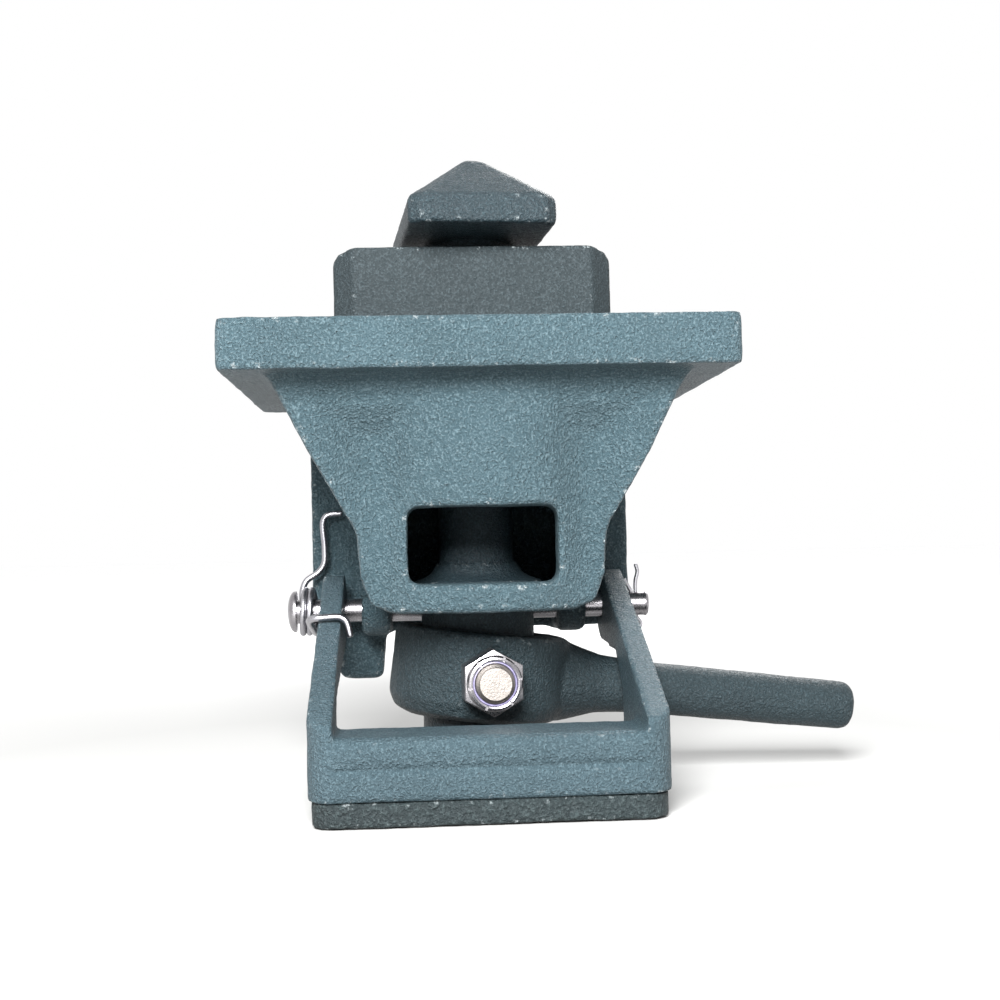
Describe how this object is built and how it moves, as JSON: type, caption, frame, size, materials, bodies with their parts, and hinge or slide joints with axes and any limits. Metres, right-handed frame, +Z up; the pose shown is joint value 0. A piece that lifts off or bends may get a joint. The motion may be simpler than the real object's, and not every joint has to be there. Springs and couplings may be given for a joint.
{
  "type": "container twist lock",
  "caption": "Weld-in trailer twist lock: cast flanged housing, shear block, turning lock head with foot handle, and a sprung safety bail.",
  "frame": {"origin": "centre of the flange's top face, on the axis of the lock spindle", "axes": "+Z up along the spindle towards the lock head, +X along the trailer and along the shear block's length, -Y towards the person who works the lock"},
  "size_m": [0.2712, 0.1825, 0.273],
  "materials": {
    "cast_paint": "blue-grey paint over a rough sand casting, worn bright at the edges",
    "block_paint": "thin greyer paint over a smoother casting",
    "forged_paint": "dark blue-grey paint over a steel casting or forging",
    "rough_paint": "dark paint over a flame-cut bar",
    "zinc_steel": "bright zinc-plated steel",
    "bronze": "plain bronze bearing metal"
  },
  "bodies": {
    "housing": {"body_casting": "cast_paint", "shear_block": "block_paint", "block_screw_left": "zinc_steel", "block_screw_right": "zinc_steel", "upper_bushing": "bronze", "lower_bushing": "bronze", "thrust_washer": "zinc_steel", "hinge_pin": "zinc_steel", "cotter_pin": "zinc_steel", "torsion_spring": "zinc_steel"},
    "lock": {"lock_spindle": "forged_paint", "spindle_sleeve": "forged_paint", "handle": "forged_paint", "cross_bolt": "zinc_steel", "lock_nut": "zinc_steel"},
    "safety_bail": {"bail": "forged_paint", "bail_weight": "rough_paint"}
  },
  "joints": [
    {"name": "lock_turn", "type": "hinge", "parent": "housing", "child": "lock", "pos_m": [0, 0, -0.1445], "axis": [0, 0, 1], "range_deg": [0, 85.5]},
    {"name": "bail_lift", "type": "hinge", "parent": "housing", "child": "safety_bail", "pos_m": [0, 0.04, -0.1175], "axis": [-1, 0, 0], "range_deg": [0, 20], "stiffness_Nm_per_rad": 2, "springref_deg": -28.65, "deforming": ["torsion_spring"]}
  ]
}
